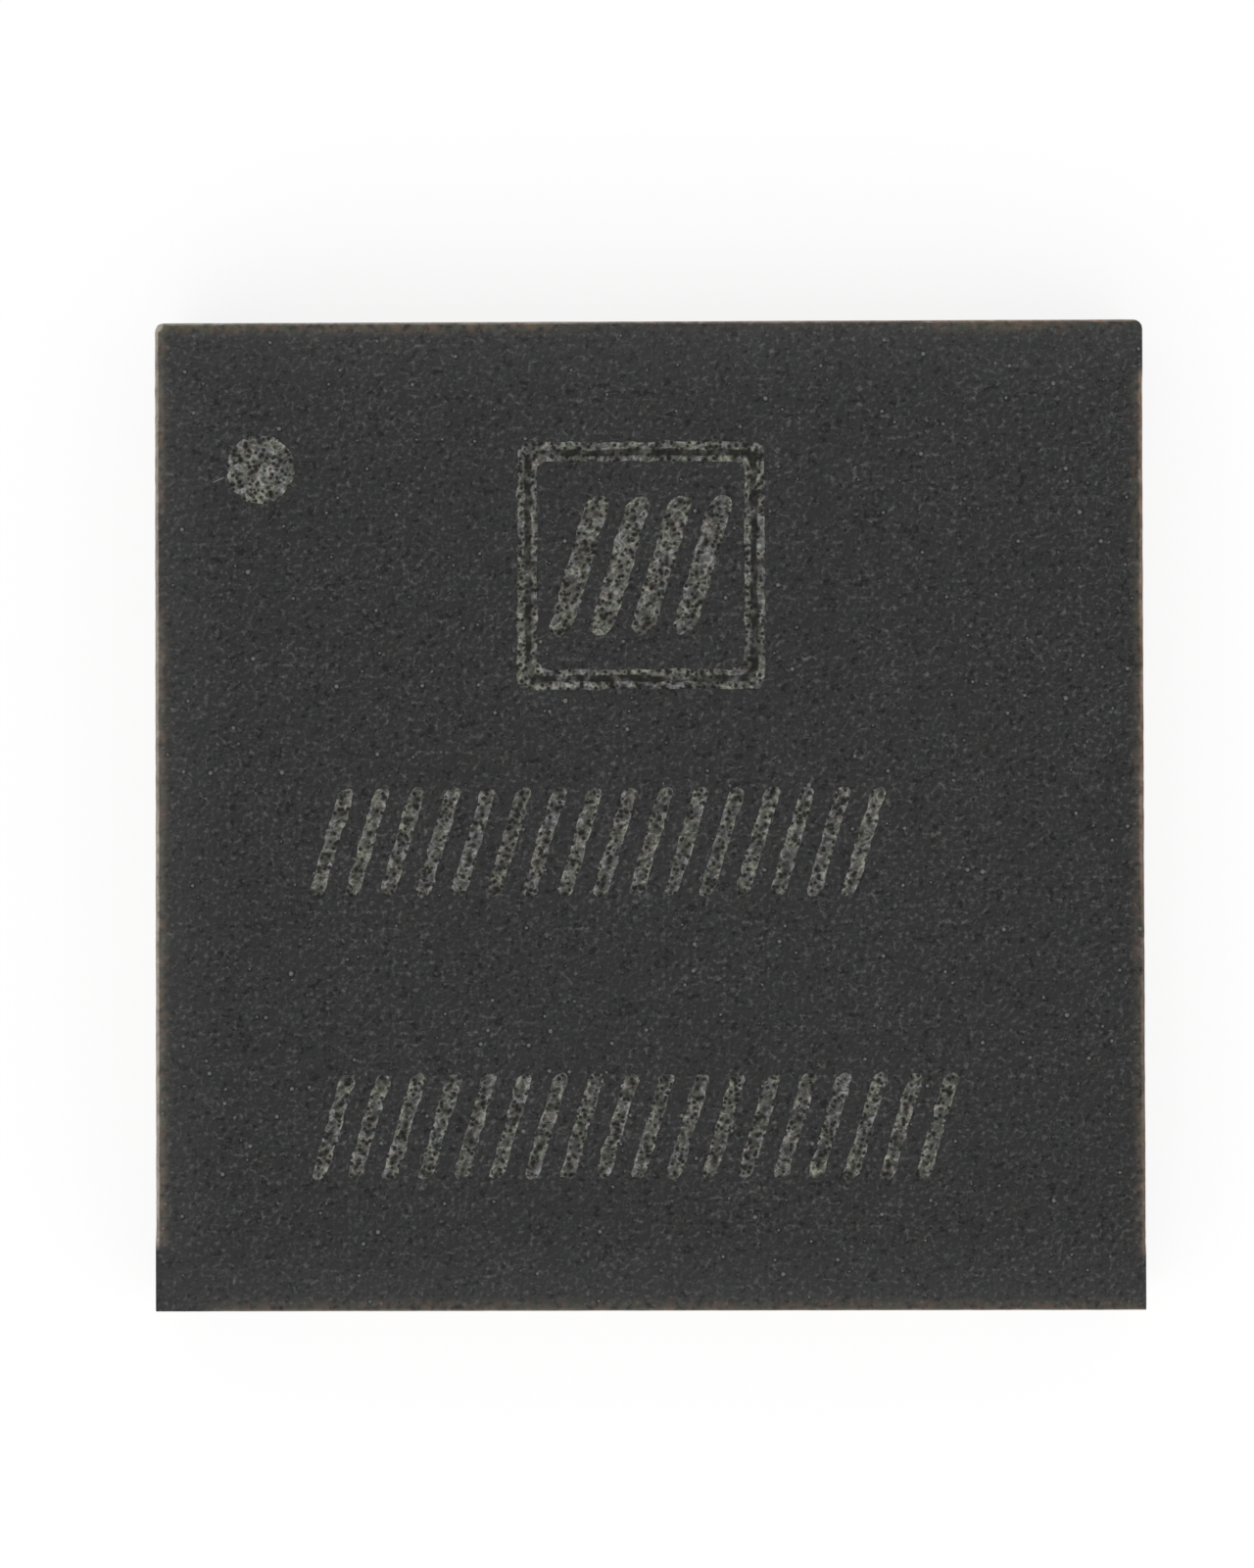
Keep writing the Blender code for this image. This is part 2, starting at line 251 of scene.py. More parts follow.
class Nodes:
    """A node tree, and the one way in which nodes are added to it."""

    def __init__(self, tree):
        self.tree = tree

    def node(self, kind, settings, values, output=0):
        """Adds a node, sets it up, fills or links its sockets, and returns one output."""
        made = self.tree.nodes.new(kind)
        for name, value in settings.items():
            setattr(made, name, value)
        for socket, value in (values.items() if isinstance(values, dict) else values):
            if isinstance(value, Signal):
                self.tree.links.new(value.socket, made.inputs[socket])
            else:
                made.inputs[socket].default_value = value
        return Signal(self, made.outputs[output])


class Finish(Nodes):
    """A procedural material on a piece's own coordinates, in millimetres."""

    def __init__(self, name, **constants):
        self.material = bpy.data.materials.new(name)
        self.material.use_nodes = True
        super().__init__(self.material.node_tree)
        self.shader = self.tree.nodes["Principled BSDF"]
        for socket, value in constants.items():
            self.shader.inputs[socket.replace("_", " ")].default_value = value
        objects = self.node("ShaderNodeTexCoord", {}, {}, "Object")
        self.point = self.node("ShaderNodeMapping", {"vector_type": "POINT"},
                               {"Vector": objects, "Scale": (1 / MM,) * 3})
        self.x, self.y, self.z = self.split(self.point, "XYZ")

    def split(self, vector, axes):
        """The named coordinates of a vector."""
        return [self.node("ShaderNodeSeparateXYZ", {}, {"Vector": vector}, axis) for axis in axes]

    def stretched(self, *scale):
        """The piece's coordinates, scaled along each axis."""
        return self.node("ShaderNodeMapping", {"vector_type": "POINT"},
                         {"Vector": self.point, "Scale": scale})

    def shifted(self, *offset):
        """The piece's coordinates, moved, so that a pattern doesn't repeat another one."""
        return self.node("ShaderNodeMapping", {"vector_type": "POINT"},
                         {"Vector": self.point, "Location": offset})

    def noise(self, scale, detail=0.0, roughness=0.5, distortion=0.0, at=None):
        """Cloudy noise from 0 to 1, with its scale in cells a millimetre."""
        return self.node("ShaderNodeTexNoise", {"noise_dimensions": "3D"},
                         {"Vector": at or self.point, "Scale": scale, "Detail": detail,
                          "Roughness": roughness, "Distortion": distortion}, "Fac")

    def grains(self, scale, at=None, output="Distance"):
        """Distance to the nearest of scattered grains, or another output of the same node."""
        return self.node("ShaderNodeTexVoronoi", {"feature": "F1"},
                         {"Vector": at or self.point, "Scale": scale}, output)

    def rise(self, signal, low, high):
        """0 below low, 1 above high, and smooth between them. It falls where low is above high."""
        return self.node("ShaderNodeMapRange", {"interpolation_type": "SMOOTHSTEP"},
                         {"Value": signal, "From Min": low, "From Max": high})

    def worms(self, scale, width, distortion, offset=0.0):
        """Short winding lines, from 0 beside them to 1 on them."""
        cloud = self.noise(scale, distortion=distortion, at=self.shifted(offset, offset, offset))
        return self.rise(abs(cloud - 0.5), width, 0.0)

    def scratch(self, middle, turn, reach, width):
        """A short straight mark on the top face, from 0 beside it to 1 on it."""
        lined_up = self.node("ShaderNodeMapping", {"vector_type": "TEXTURE"},
                             {"Vector": self.point, "Location": (*middle, 0),
                              "Rotation": (0, 0, math.radians(turn))})
        along, across = self.split(lined_up, "XY")
        return (self.rise(abs(along), reach, reach * 0.6)
                * self.rise(abs(across), width, width * 0.2))

    def mix(self, factor, first, second):
        """A colour between two colours."""
        settings = {"data_type": "RGBA", "blend_type": "MIX"}
        first, second = (c if isinstance(c, Signal) else (*c, 1.0) for c in (first, second))
        return self.node("ShaderNodeMix", settings, {0: factor, 6: first, 7: second}, 2)

    def scaled(self, shade, factor):
        """A colour made darker or lighter by a factor."""
        return self.node("ShaderNodeVectorMath", {"operation": "SCALE"},
                         {"Vector": shade, "Scale": factor})

    def finish(self, base, roughness, metallic=None, *, relief, depth):
        """Links what changes over the surface, and returns the material."""
        bump = self.node("ShaderNodeBump", {}, {"Height": relief, "Strength": 1.0, "Distance": depth})
        links = {"Base Color": base, "Roughness": roughness, "Metallic": metallic, "Normal": bump}
        for socket, signal in links.items():
            if signal is not None:
                self.tree.links.new(signal.socket, self.shader.inputs[socket])
        return self.material


def compound_grain(finish, shades):
    """The moulding's grain: charcoal with short light worms, dark pits and a few bright specks,
    with a ring of painted shadow round each speck.

    A fine grain is painted in light and shade, as if lit from one side.
    """
    shifted = finish.shifted(9, 4, 2)
    gaps = finish.rise(finish.noise(36.0, 1.0, at=shifted), 0.47, 0.58)
    worms = finish.worms(20.0, 0.085, 0.6) * gaps
    fine = finish.rise(finish.noise(30.0, 1.0), 0.54, 0.76)
    grit = finish.noise(30.0, 3.0, 0.75, at=finish.shifted(7, 3, 1))
    drift = finish.noise(2.4, 2.0)
    patches = finish.noise(9.0, 2.0, at=shifted)
    pits = finish.rise(finish.noise(25.0, 1.0, at=finish.shifted(3, 7, 5)), 0.42, 0.30)
    speck = finish.grains(11.5) + finish.grains(11.5, output="Color") * 0.24
    # A dark ring round each bright speck is painted shadow, drawn into the pits.
    pits = pits.at_least(finish.rise(speck, 0.33, 0.23) * 0.9)
    # Painted light and shade: the grain minus a shifted copy, bright on one side and dark on the
    # other.
    painted_light_and_shade = finish.noise(34.0, 1.0) - finish.noise(34.0, 1.0, at=finish.shifted(0.009, -0.011, 0))
    light = (worms * 0.22 + fine * 0.42) * (drift + patches * 0.8) + finish.rise(speck, 0.21, 0.11)
    light = light + (drift + patches * 1.6 - 1.3) * 0.09 + (grit - 0.43) * 0.22 + painted_light_and_shade * 0.42
    warmth = finish.rise(finish.noise(13.0, 1.0, at=shifted), 0.40, 0.60)
    plain = finish.mix(warmth, shades.compound, shades.warm_compound)
    flecks = finish.mix(warmth, shades.fleck, shades.warm_fleck)
    pitted = finish.mix(pits * 0.9, plain, shades.pit)
    base = finish.mix(light.at_most(1.0).at_least(0.0), pitted, flecks)
    relief = worms * 0.8 + fine * 0.4 - pits
    return base, relief, drift


def moulded_finish(shades, wear, name="moulded_compound", gloss=0.12):
    """The matte top face, rubbed pale along its edges, with a painted highlight there.

    Along each side a thin edge line is painted pale, partly as rubbed wear and partly as a painted
    highlight where the rounded edge catches light, and behind it a halo is stained. A run is where
    along the side they show, and a gap is where they are fainter. All places are in millimetres.
    """
    finish = Finish(name, Specular_IOR_Level=gloss, IOR=1.5)
    base, relief, drift = compound_grain(finish, shades)
    wander = (finish.noise(9.0, 2.0) - 0.5) * 0.030
    mottle = finish.noise(22.0, 2.0)
    tint = finish.rise(finish.noise(11.0, 2.0, at=finish.shifted(6, 2, 9)), 0.42, 0.58)
    half = HALF / MM
    from_left, from_right = finish.x + half, half - finish.x
    from_front, from_back = finish.y + half, half - finish.y
    across, upwards = finish.x + wander * 9, finish.y + wander * 3
    left_start = wear.left_span[0] / MM
    right_start, right_end = (end / MM for end in wear.right_span)
    left_run = finish.rise(upwards, left_start - 0.06, left_start + 0.04)
    right_run = (finish.rise(finish.y, right_start - 0.03, right_start + 0.05)
                 * finish.rise(finish.y, right_end + 0.04, right_end - 0.08))
    back_run = finish.rise(across, 2.80, 2.20) * 0.65 + 0.35
    front_run = finish.rise(across, -2.85, -2.45)
    left_gap = finish.rise(abs(upwards - 1.56), 0.42, 0.24)
    back_gap = finish.rise(abs(across - 0.6), 1.35, 0.85)
    broad = finish.rise(from_left.at_most(from_back).at_most(from_front), 0.50, 0.03)
    broad = broad * mottle * 0.15 + finish.rise(from_back, 1.6, 0.3) * 0.014
    base = finish.mix(broad, base, shades.fleck)
    halo = (finish.rise(from_left + wander, 0.115, 0.0) * left_run * (0.85 - left_gap * 0.60)
            + finish.rise(from_right + wander * 1.6, 0.105, 0.0) * right_run * 0.80
            + finish.rise(from_back + wander, 0.105, 0.0) * back_run * (1.05 - back_gap * 0.80)
            + finish.rise(from_front + wander, 0.10, 0.0) * front_run * 0.75)
    halo = halo * finish.rise(mottle, 0.26, 0.62)
    stain = finish.mix(tint, shades.stain, shades.olive)
    base = finish.mix(halo.at_most(1.0), base, stain)
    # The rounded back left corner gets the same pale paint: rubbed wear and a painted highlight.
    straight = half - CORNER / MM
    past_left, past_back = (-straight - finish.x).at_least(0.0), (finish.y - straight).at_least(0.0)
    corner = (past_left * past_left + past_back * past_back).maths("SQRT") - CORNER / MM
    corner = finish.rise(corner, -0.050, -0.012) * finish.rise(past_left * past_back, 0.0, 0.0002)
    brighter = finish.rise(finish.y, -2.6, 2.6) * 0.24 + 0.38
    # The pale edge line: partly rubbed wear, partly a painted highlight where the rounded edge catches
    # light.
    lip_and_highlight = (finish.rise(from_left + wander * 0.4, 0.030, 0.012) * left_run * 0.86
           + finish.rise(from_left + wander, 0.080, 0.024) * left_run * (0.12 - left_gap * 0.10)
           + finish.rise(from_right + wander * 1.3, 0.037, 0.008) * right_run * brighter
           + finish.rise(from_back + wander * 0.3, 0.018, 0.004) * 0.85
           + finish.rise(from_front + wander * 0.3, 0.020, 0.0) * front_run * 0.25 + corner)
    lip_and_highlight = lip_and_highlight * (finish.noise(15.0, 3.0, 0.65) * 1.8 - 0.08).at_least(0.12)
    lip_and_highlight = lip_and_highlight + finish.scratch(middle=(-2.607, 2.043), turn=24, reach=0.045, width=0.006) * 0.34
    redness = finish.rise(finish.x, -2.0, 2.0) * (tint * 0.7 + 0.25)
    base = finish.mix(lip_and_highlight.at_most(1.0), base, finish.mix(redness, shades.lip_and_highlight, shades.blush))
    rough = 0.62 + drift * 0.16 + relief * 0.05
    return finish.finish(base, rough, relief=relief, depth=0.0016 * MM)


def burnt_finish(shades):
    """Floors of the burnt marks: pale where the laser left a ridge, and dark in its pits."""
    finish = Finish("burnt_compound", Specular_IOR_Level=0.12, IOR=1.5)
    ridge = finish.node("ShaderNodeAttribute", {"attribute_name": RIDGE}, {}, "Fac")
    crumbs = finish.noise(34.0, 2.0)
    holes = finish.rise(finish.grains(28.0, at=finish.shifted(2, 8, 3)), 0.22, 0.46)
    strings = finish.worms(23.0, 0.11, 0.8, 7.0)
    scorch = finish.noise(9.0, 1.0) * 1.5 + 0.25
    light = ridge * scorch * (holes * 0.70 + 0.06) * (crumbs * 1.05 + strings * 0.66 + 0.04)
    olive = finish.rise(finish.noise(14.0, 1.0, at=finish.shifted(4, 9, 6)), 0.42, 0.58)
    pink = finish.rise(finish.noise(12.0, 1.0, at=finish.shifted(8, 1, 2)), 0.52, 0.64)
    tinged = finish.mix(olive, shades.burnt, shades.burnt_olive)
    tinged = finish.mix(pink, tinged, shades.burnt_pink)
    base = finish.mix(light.at_most(1.0).at_least(0.0), shades.char, tinged)
    return finish.finish(base, 0.66 + crumbs * 0.2, relief=holes + strings * 0.6, depth=0.0025 * MM)


def sawn_finish(shades):
    """The side faces: fine lines from the saw, and grains of filler that it cut through."""
    finish = Finish("sawn_compound", Specular_IOR_Level=0.30, IOR=1.5)
    lines = finish.noise(9.0, 3.0, 0.6, at=finish.stretched(0.05, 0.05, 5.0))
    scratch = finish.rise(finish.noise(10.0, 1.0, at=finish.stretched(0.12, 0.12, 9.0)), 0.60, 0.74)
    big = finish.grains(13.0) + (1 - finish.grains(13.0, output="Color")) * 0.24
    big = finish.rise(big, 0.34, 0.25)
    small = finish.grains(31.0) + (1 - finish.grains(31.0, output="Color")) * 0.3
    small = finish.rise(small, 0.42, 0.28)
    mottle = finish.noise(15.0, 2.0)
    light = big * 0.42 + small * 0.30 + scratch * 0.22 + finish.rise(mottle, 0.45, 0.75) * 0.22
    base = finish.mix(light.at_most(1.0), shades.sawn, shades.filler)
    # A pale band along the top of the side faces, in the edge line's colour: partly rubbed wear,
    # partly a painted highlight along the edge.
    top_run = finish.rise(finish.z, TOP / MM - 0.055, TOP / MM - 0.002)
    top_run = top_run * finish.rise(finish.noise(10.0, 2.0), 0.35, 0.65)
    base = finish.mix(top_run * 0.45, base, shades.lip_and_highlight)
    rough = 0.50 + lines * 0.20 + mottle * 0.12 - big * 0.10
    relief = lines * 0.8 + small * 0.25 - scratch * 0.4
    return finish.finish(base, rough, relief=relief, depth=0.0030 * MM)


def underside_finish(shades):
    """The moulded underside: darker, coarser and mottled brown and grey."""
    finish = Finish("underside_compound", Specular_IOR_Level=0.25, IOR=1.5)
    base, relief, drift = compound_grain(finish, shades)
    patches = finish.rise(finish.noise(13.0, 2.0), 0.52, 0.72)
    brown = finish.rise(finish.noise(7.0, 2.0, at=finish.shifted(5, 1, 8)), 0.55, 0.75)
    base = finish.mix(patches * 0.25, finish.scaled(base, 0.72), shades.fleck)
    base = finish.mix(brown * 0.35, base, shades.stain)
    return finish.finish(base, 0.60 + drift * 0.2, relief=relief + patches, depth=0.0030 * MM)


def metal_finish(shades):
    """Matte tin outside, bare copper where the saw cut, gold bond wires and copper inside."""
    finish = Finish("plated_leadframe", Metallic=1.0)
    grain = finish.noise(45.0, 2.0)
    cloud = finish.noise(6.0, 2.0)
    pits = finish.rise(finish.noise(38.0, 1.0, at=finish.shifted(2, 6, 4)), 0.40, 0.27)
    tin = finish.scaled(finish.mix(cloud, shades.tin, shades.warm_tin), grain * 0.45 + 0.80)
    tin = finish.mix(pits * 0.75, tin, shades.tarnish)
    streaks = finish.noise(8.0, 3.0, 0.6, at=finish.stretched(0.18, 0.18, 5.0))
    copper = finish.mix(finish.rise(streaks, 0.38, 0.62), shades.dull_copper, shades.copper)
    outwards = abs(finish.x).at_least(abs(finish.y)) - SAW_CUT / MM
    wander = (finish.noise(14.0, 2.0) - 0.5) * 0.10
    sliver = finish.rise(outwards + wander, -0.045, -0.025)
    sawn = finish.rise(outwards, -0.0025, -0.0010)
    dragged_tin = finish.rise(finish.z + (finish.noise(9.0, 2.0) - 0.5) * 0.09, 0.040, 0.018)
    bare = (sliver * 0.9 + sawn).at_most(1.0) * (1 - sawn * dragged_tin * 0.85)
    inside = finish.rise(finish.z, 0.004, 0.008) * (1 - sawn)
    bare = bare.at_least(inside)
    wire = finish.rise(finish.z, SHEET_TOP / MM + 0.002, SHEET_TOP / MM + 0.006)
    base = finish.mix(wire, finish.mix(bare, tin, copper), shades.gold)
    rough = 0.46 + grain * 0.16 + pits * 0.14 - wire * 0.25
    relief = grain * (1 - bare) * 0.7 - pits * (1 - bare) * 0.5 + streaks * bare
    return finish.finish(base, rough, relief=relief, depth=0.0020 * MM)


def glue_finish(shades):
    """Silver filled epoxy: flakes in a grey paste."""
    finish = Finish("silver_filled_epoxy", Specular_IOR_Level=0.5)
    flakes = finish.grains(60.0, output="Color")
    grain = finish.noise(30.0, 2.0)
    base = finish.mix(flakes, shades.silver_glue, shades.silver_flake)
    return finish.finish(finish.scaled(base, grain * 0.6 + 0.65), 0.42 + grain * 0.2,
                         finish.rise(flakes, 0.3, 0.8) * 0.7, relief=grain, depth=0.0020 * MM)


def silicon_finish(shades):
    """The die: dark polished top with faint blocks of circuit, and diced sides."""
    finish = Finish("diced_silicon", Specular_IOR_Level=0.6, IOR=1.9)
    blocks = finish.node("ShaderNodeTexBrick", {"offset": 0.37, "squash": 1.6, "squash_frequency": 3},
                         {"Vector": finish.point, "Color1": (*shades.circuit, 1),
                          "Color2": (*shades.dark_circuit, 1), "Mortar": (*shades.circuit_line, 1),
                          "Scale": 1.0, "Mortar Size": 0.008, "Brick Width": 0.42,
                          "Row Height": 0.27}, "Color")
    top = finish.rise(finish.z, DIE_TOP / MM - 0.005, DIE_TOP / MM - 0.001)
    lines = finish.noise(12.0, 2.0, at=finish.stretched(0.1, 0.1, 4.0))
    base = finish.mix(top, finish.scaled(shades.silicon, lines + 0.5), blocks)
    return finish.finish(base, 0.42 - top * 0.22 + lines * 0.1, relief=lines * (1 - top),
                         depth=0.0015 * MM)


# The moulding


def waver(point, scale, offset):
    """Noise from -1 to 1 at a point, with its scale in cells a millimetre."""
    return noise.noise((point / MM) * scale + Vector((offset, offset * 0.7, offset * 0.3)))


def outline(mesh, height):
    """The open edges at one height."""
    return [edge for edge in mesh.edges if edge.is_boundary
            and all(abs(vert.co.z - height) < SAME_POINT for vert in edge.verts)]


def keep_lower_block(mesh, wear):
    """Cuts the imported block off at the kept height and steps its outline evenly."""
    everything = mesh.verts[:] + mesh.edges[:] + mesh.faces[:]
    bmesh.ops.bisect_plane(mesh, geom=everything, dist=SAME_POINT,
                           plane_co=(0, 0, wear.kept_height), plane_no=(0, 0, 1), clear_outer=True)
    for edge in outline(mesh, wear.kept_height):
        cuts = int(edge.calc_length() / wear.segment)
        if cuts:
            bmesh.ops.subdivide_edges(mesh, edges=[edge], cuts=cuts)
    return outline(mesh, wear.kept_height)


def rub_upper_edge(mesh, rim, outer, wear):
    """Takes the outline up to the top face in a rounded, uneven profile."""
    for vert in {vert for edge in rim for vert in edge.verts}:
        vert[outer] = vert.co
    for step in range(wear.rounds + 1):
        made = bmesh.ops.extrude_edge_only(mesh, edges=rim)["geom"]
        rim = [item for item in made if isinstance(item, bmesh.types.BMEdge) and item.is_boundary]
        angle = 0.5 * math.pi * step / wear.rounds
        for vert in {vert for edge in rim for vert in edge.verts}:
            spot = vert[outer]
            uneven = max(0.3, 1 + 0.50 * waver(spot, 6.0, 3.0) + 0.45 * waver(spot, 17.0, 8.0))
            start, end = wear.left_span if spot.x < 0 else wear.right_span
            steps_in = min(spot.y - start, end - spot.y) / wear.segment
            across = wear.side_edge * uneven * min(1, max(0.15, steps_in / 3))
            along = uneven * (wear.back_edge if spot.y > 0 else wear.front_edge)
            fall = across if abs(spot.x) > abs(spot.y) else along
            taken = 1 - math.cos(angle)
            vert.co = (spot.x * (1 - across * taken / HALF), spot.y * (1 - along * taken / HALF),
                       TOP - fall * (1 - math.sin(angle)))
        for face in {face for edge in rim for face in edge.link_faces}:
            face.smooth = step > 0
            face.material_index = RUBBED if step > 0 else SAWN


def bar(mesh, scoured, middle, width, height, shift, worn, cell):
    """A flat slanted bar of small faces on the top face, with round ends and a scoured middle."""
    made = bmesh.ops.create_grid(mesh, x_segments=round(width / cell),
                                 y_segments=round(height / cell), size=0.5)["verts"]
    straight = 1 - width / height
    for vert in made:
        across = abs(2 * vert.co.x)
        vert[scoured] = worn * (1 - across / SCOURED)
        vert.co.y *= straight + (1 - straight) * math.sqrt(max(BLUNT, 1 - across ** 2))
    lean = Matrix(((width, shift, 0, middle[0]),
                   (0, height, 0, middle[1]),
                   (0, 0, 1, TOP),
                   (0, 0, 0, 1)))
    bmesh.ops.transform(mesh, matrix=lean, verts=made)


def row(mesh, scoured, start, height, bars, stroke, pitch, worn, marks):
    """A row of slanted bars, side by side."""
    lean = marks.slant * height
    for number in range(bars):
        left = start[0] + 0.5 * (stroke + lean) + number * pitch
        bar(mesh, scoured, (left, start[1] - 0.5 * height), stroke, height, lean, worn, marks.cell)


def double_line(mesh, scoured, marks):
    """A square band of small faces with rounded corners: two lines and the groove between them."""
    middle = Matrix.Translation((*marks.panel_centre, TOP))
    side = marks.panel_side
    before = set(mesh.verts)
    bmesh.ops.create_circle(mesh, segments=4, radius=side / math.sqrt(2),
                            matrix=middle @ Matrix.Rotation(math.radians(45), 4, "Z"))
    corners = [vert for vert in mesh.verts if vert not in before]
    bmesh.ops.bevel(mesh, geom=corners, offset=side * 0.05, affect="VERTICES", segments=6,
                    profile=0.5, material=-1)
    rim = [edge for edge in mesh.edges if edge.is_wire and edge.verts[0] not in before]
    for edge in rim:
        cuts = int(edge.calc_length() / marks.cell)
        if cuts:
            bmesh.ops.subdivide_edges(mesh, edges=[edge], cuts=cuts)
    rim = [edge for edge in mesh.edges if edge.is_wire and edge.verts[0] not in before]
    band = 2 * marks.panel_line + marks.panel_gap
    for step in range(round(band / marks.cell)):
        outer = {vert for edge in rim for vert in edge.verts}
        made = bmesh.ops.extrude_edge_only(mesh, edges=rim)["geom"]
        rim = [item for item in made if isinstance(item, bmesh.types.BMEdge)
               and not outer & set(item.verts)]
        inner = list({vert for edge in rim for vert in edge.verts})
        outside = side - 2 * marks.cell * step
        bmesh.ops.scale(mesh, verts=inner, vec=((outside - 2 * marks.cell) / outside,) * 3,
                        space=middle.inverted())
        across = (step + 1.5) * marks.cell
        for vert in inner:
            vert[scoured] = float(marks.panel_line < across < band - marks.panel_line + marks.cell)


def dot(mesh, marks):
    """A flat disc of small faces for the pin 1 dot."""
    radius = 0.5 * marks.dot_diameter
    rings = round(radius / marks.cell)
    middle = Vector((*marks.dot_centre, TOP))
    spoke = [mesh.verts.new(middle + Vector((radius * ring / rings, 0, 0)))
             for ring in range(rings + 1)]
    edges = [mesh.edges.new(pair) for pair in zip(spoke, spoke[1:])]
    before = set(mesh.verts) - set(spoke)
    bmesh.ops.spin(mesh, geom=spoke + edges, cent=middle, axis=(0, 0, 1), angle=math.tau,
                   steps=round(math.tau * radius / marks.cell), use_merge=True)
    verts = [vert for vert in mesh.verts if vert not in before]
    bmesh.ops.remove_doubles(mesh, verts=verts, dist=SAME_POINT)


def burn(faces, depth, height, scoured, strength):
    """Turns flat faces into a burnt floor: pits between winding ridges, and an uneven rim."""
    verts = {vert for face in faces for vert in face.verts}
    rim = {vert for vert in verts if vert.is_boundary}
    for vert in verts:
        flat = Vector((vert.co.x, vert.co.y, 0)) / MM
        big = noise.voronoi(flat * 16.5)[0][0]
        small = noise.voronoi(flat * 31.0 + Vector((3, 5, 7)))[0][0]
        holes = min((big - 0.16) / 0.30, (small - 0.14) / 0.34, 1)
        string = 1 - min(abs(waver(vert.co, 24.0, 9.0)) / 0.42, 1)
        lost = vert[scoured] * max(0.0, min(0.95, 0.80 + 0.75 * waver(vert.co, 14.0, 4.0)))
        ridge = max(0.0, min(1.0, holes * (0.62 + 0.60 * string))) * (1 - lost)
        ridge = min(1.0, ridge + 0.6 * max(0.0, -lost))
        vert[height] = ridge * strength
        if vert not in rim:
            vert.co.z = TOP - depth * (1 - 0.92 * ridge)
        spot = vert.co.copy()
        fray = FRAY if vert in rim else 0.0
        for axis in range(2):
            vert.co[axis] += (SWAY * waver(spot, 13.0, 11.0 + axis)
                              + fray * waver(spot, 27.0, 1.0 + axis))
    for face in faces:
        face.material_index = BURNT
        face.smooth = True


def burnt_marks(mesh, height, scoured, marks):
    """Adds the dot, the two rows and the panel. Their rims stay open, at the top face."""
    packed = set(mesh.faces)
    dot(mesh, marks)
    burn([face for face in mesh.faces if face not in packed], marks.dot_depth, height, scoured, 1.0)
    dotted = set(mesh.faces)
    for start, tall, bars in ((marks.upper_start, marks.upper_height, marks.upper_bars),
                              (marks.lower_start, marks.lower_height, marks.lower_bars)):
        row(mesh, scoured, start, tall, bars, marks.stroke, marks.stroke_pitch, marks.worn_middle,
            marks)
    width = ((marks.panel_bars - 1) * marks.panel_pitch + marks.panel_stroke
             + marks.slant * marks.panel_height)
    corner = (marks.panel_centre[0] - 0.5 * width, marks.panel_centre[1] + 0.5 * marks.panel_height)
    little_worn = 0.25 * marks.worn_middle
    row(mesh, scoured, corner, marks.panel_height, marks.panel_bars, marks.panel_stroke,
        marks.panel_pitch, little_worn, marks)
    double_line(mesh, scoured, marks)
    burn([face for face in mesh.faces if face not in dotted], marks.bar_depth, height, scoured,
         marks.bar_strength)


def put_in_order(mesh):
    """Puts edges and faces in the same order each run, which extruding doesn't."""
    mesh.verts.index_update()
    count = len(mesh.verts)

    def rank(item):
        first, second, *others = sorted(vert.index for vert in item.verts)
        return (first * count + second) * count + (others[0] if others else 0)

    mesh.edges.sort(key=rank)
    mesh.faces.sort(key=rank)


def fill_top(mesh):
    """Closes the top face round the marks.

    The mesh is turned for it, because the fill slips on points in straight rows.
    """
    turn = Matrix.Rotation(FILL_TURN, 4, "Z")
    bmesh.ops.transform(mesh, matrix=turn, verts=mesh.verts)
    bmesh.ops.triangle_fill(mesh, edges=outline(mesh, TOP), normal=(0, 0, 1))
    bmesh.ops.transform(mesh, matrix=turn.inverted(), verts=mesh.verts)


def moulding_mesh(wear, marks):
    """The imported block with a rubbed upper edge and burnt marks."""
    mesh = bmesh.new()
    outer = mesh.verts.layers.float_vector.new("outer")
    height = mesh.verts.layers.float.new(RIDGE)
    scoured = mesh.verts.layers.float.new("scoured")
    mesh.from_mesh(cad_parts["mould_body"].data)
    bmesh.ops.remove_doubles(mesh, verts=mesh.verts, dist=SAME_POINT)
    rim = keep_lower_block(mesh, wear)
    for face in mesh.faces:
        face.smooth = False
        face.material_index = SAWN if abs(face.normal.z) < 0.5 else UNDERSIDE
    rub_upper_edge(mesh, rim, outer, wear)
    burnt_marks(mesh, height, scoured, marks)
    put_in_order(mesh)
    fill_top(mesh)
    bmesh.ops.recalc_face_normals(mesh, faces=mesh.faces)
    left_open = [edge for edge in mesh.edges if not edge.is_manifold]
    if left_open or mesh.calc_volume(signed=True) < 0:
        raise RuntimeError(f"the moulding isn't closed: {len(left_open)} open edges")
    mesh.verts.layers.float_vector.remove(mesh.verts.layers.float_vector["outer"])
    mesh.verts.layers.float.remove(mesh.verts.layers.float["scoured"])
    data = bpy.data.meshes.new("moulding")
    mesh.to_mesh(data)
    mesh.free()
    return data


# Pieces


def settings(context):
    """The four groups of settings, in the order in which they are registered."""
    return [getattr(context.scene, name) for name in GROUPS]


def dress(node, material):
    """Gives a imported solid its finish."""
    if not node.data.materials:
        node.data.materials.append(material)
    for slot in node.material_slots:
        slot.material = material


